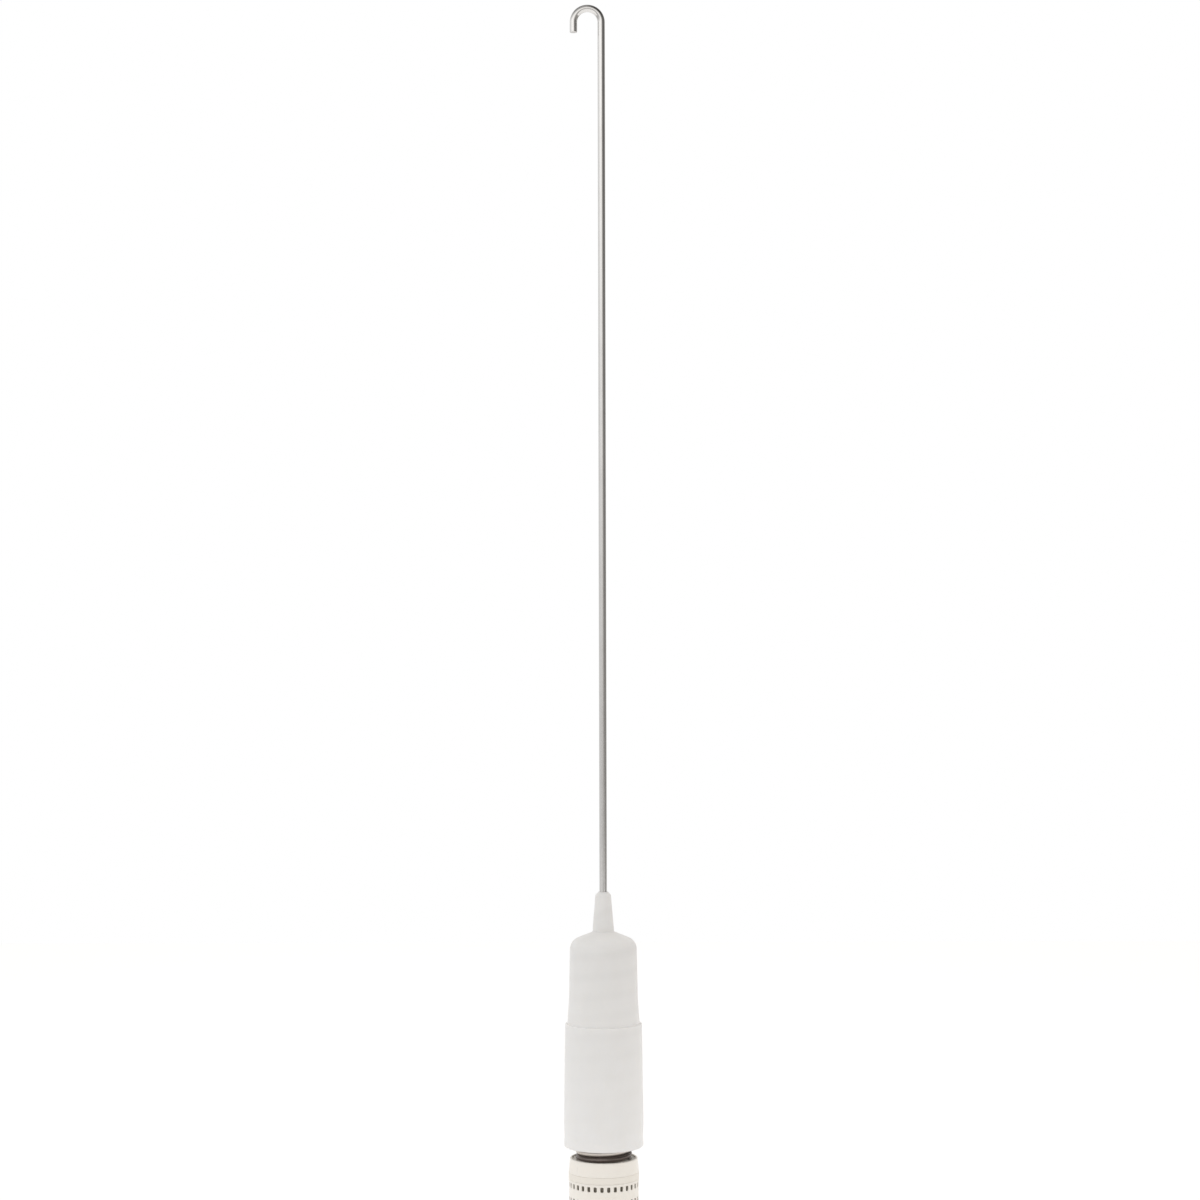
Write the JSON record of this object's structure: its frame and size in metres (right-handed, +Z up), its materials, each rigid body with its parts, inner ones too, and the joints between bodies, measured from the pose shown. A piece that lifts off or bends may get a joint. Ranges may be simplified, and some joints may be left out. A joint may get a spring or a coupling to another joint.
{
  "type": "washing machine suspension rod",
  "caption": "Hooked steel suspension rod with a sliding plastic damper housing, a coil spring and a slotted base cup at its lower end.",
  "frame": {"origin": "hook's bearing point: the top of the inside of the hook, where it hangs on its bracket", "axes": "+Z up, along the rod; +X from the hook's tip towards the shank; +Y through the hook's throat"},
  "size_m": [0.0428, 0.0428, 0.649],
  "materials": {
    "rod_steel": "bright drawn wire",
    "washer_steel": "zinc plated",
    "base_plastic": "cream moulded, satin",
    "ring_plastic": "cream moulded, satin",
    "spring_steel": "oiled spring wire",
    "seat_plastic": "cream moulded",
    "bush_plastic": "low friction, satin",
    "o_ring_rubber": "matt black",
    "housing_plastic": "off-white moulded, satin"
  },
  "bodies": {
    "rod": {"rod_shank": "rod_steel", "rod_hook": "rod_steel", "thrust_washer": "washer_steel"},
    "base": {"damper_base": "base_plastic", "piston_ring": "ring_plastic", "coil_spring": "spring_steel"},
    "upper_seat": {"upper_spring_seat": "seat_plastic"},
    "bush": {"friction_bush": "bush_plastic", "bush_o_ring": "o_ring_rubber"},
    "housing": {"damper_housing": "housing_plastic"}
  },
  "joints": [
    {"name": "base_turn", "type": "hinge", "parent": "rod", "child": "base", "pos_m": [0.0075, 0, -0.6195], "axis": [0, 0, 1], "continuous": true},
    {"name": "spring_stroke", "type": "slide", "parent": "base", "child": "upper_seat", "axis": [0, 0, 1], "range_m": [-0.07, 0], "stiffness_N_per_m": 5200, "deforming": ["coil_spring"]},
    {"name": "housing_lift", "type": "slide", "parent": "upper_seat", "child": "bush", "axis": [0, 0, 1], "range_m": [0, 0.46]},
    {"name": "housing_turn", "type": "hinge", "parent": "bush", "child": "housing", "pos_m": [0.0075, 0, -0.497], "axis": [0, 0, 1], "continuous": true}
  ]
}
